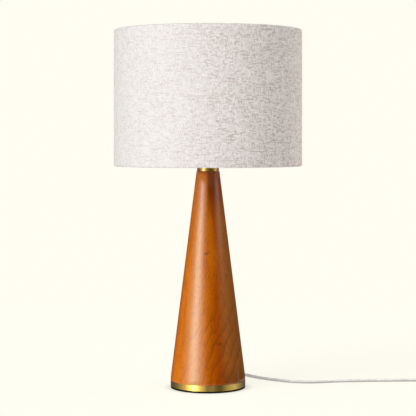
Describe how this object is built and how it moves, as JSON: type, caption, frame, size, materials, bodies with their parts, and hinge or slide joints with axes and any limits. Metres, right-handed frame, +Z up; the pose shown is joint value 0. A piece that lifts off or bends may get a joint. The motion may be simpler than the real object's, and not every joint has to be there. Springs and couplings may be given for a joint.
{
  "type": "table lamp",
  "caption": "Table lamp: a tapered turned-wood column between brass rings, a linen drum shade on a harp, a key socket with its bulb, and a grey supply cord with a plug.",
  "frame": {"origin": "on the table under the column's axis, at the underside of the foot pad", "axes": "+Z up along the column, -Y to the front, the cord leaves the foot at +Y"},
  "size_m": [0.7056, 0.33, 0.626],
  "materials": {
    "pad": "matt",
    "foot_brass": "finely brushed round the band",
    "neck_brass": "finely brushed round the ring",
    "column_wood": "oiled, satin",
    "weight_iron": "black lacquer",
    "zinc_steel": "zinc plated",
    "harp_brass": "polished",
    "finial_brass": "polished",
    "socket_brass": "satin",
    "screw_shell_metal": "bright",
    "sleeve_card": "plain",
    "phenolic": "moulded",
    "knob_plastic": "moulded",
    "solder": "tinned",
    "bulb_black": "glassy",
    "bulb_metal": "bright",
    "bulb_glass": "frosted",
    "linen": "natural linen with slubs",
    "liner": "smooth",
    "white_wire": "white enamel",
    "cord_grey": "smooth",
    "plug_grey": "moulded",
    "lead_white": "smooth",
    "lead_black": "smooth",
    "tie": "hook-and-loop strap",
    "blade_brass": "plated"
  },
  "bodies": {
    "lamp": {"foot_pad": "pad", "foot_band": "foot_brass", "wood_column": "column_wood", "base_weight": "weight_iron", "lamp_pipe": "zinc_steel", "bottom_washer": "zinc_steel", "bottom_nut": "zinc_steel", "neck_washer": "zinc_steel", "neck_nut": "zinc_steel", "neck_ring": "neck_brass", "neck_cap": "neck_brass", "harp_saddle": "harp_brass", "saddle_nut": "zinc_steel", "harp": "harp_brass", "socket_cap": "socket_brass", "socket_shell": "socket_brass", "insulating_sleeve": "sleeve_card", "socket_body": "phenolic", "terminal_screws": "socket_brass", "centre_contact": "socket_brass", "screw_shell": "screw_shell_metal", "cord_bushing": "cord_grey", "inner_cord": "cord_grey", "neutral_lead": "lead_white", "live_lead": "lead_black", "cord_run": "cord_grey", "cord_coil": "cord_grey", "cord_tie": "tie", "cord_tail": "cord_grey", "plug_body": "plug_grey", "plug_blades": "blade_brass"},
    "shade": {"swivel_stud": "harp_brass", "shade_fabric": "linen", "shade_liner": "liner", "shade_top_ring": "white_wire", "shade_bottom_ring": "white_wire", "shade_spider": "white_wire"},
    "finial": {"finial": "finial_brass"},
    "bulb": {"bulb_tip": "solder", "bulb_insulator": "bulb_black", "bulb_base": "bulb_metal", "bulb_glass": "bulb_glass"},
    "switch": {"switch_shaft": "zinc_steel", "switch_knob": "knob_plastic"},
    "ferrule_left": {"ferrule_left": "harp_brass"},
    "ferrule_right": {"ferrule_right": "harp_brass"}
  },
  "joints": [
    {"name": "shade_swivel", "type": "hinge", "parent": "lamp", "child": "shade", "pos_m": [0, 0, 0.5962], "axis": [0, 0, 1], "continuous": true},
    {"name": "finial_turn", "type": "hinge", "parent": "shade", "child": "finial", "pos_m": [0, 0, 0.6002], "axis": [0, 0, 1], "continuous": true},
    {"name": "bulb_turn", "type": "hinge", "parent": "lamp", "child": "bulb", "pos_m": [0, 0, 0.45], "axis": [0, 0, 1], "continuous": true},
    {"name": "switch_turn", "type": "hinge", "parent": "lamp", "child": "switch", "pos_m": [0, -0.02, 0.4284], "axis": [0, -1, 0], "continuous": true},
    {"name": "ferrule_left_lift", "type": "slide", "parent": "lamp", "child": "ferrule_left", "axis": [0, 0, 1], "range_m": [0, 0.012]},
    {"name": "ferrule_right_lift", "type": "slide", "parent": "lamp", "child": "ferrule_right", "axis": [0, 0, 1], "range_m": [0, 0.012]}
  ]
}
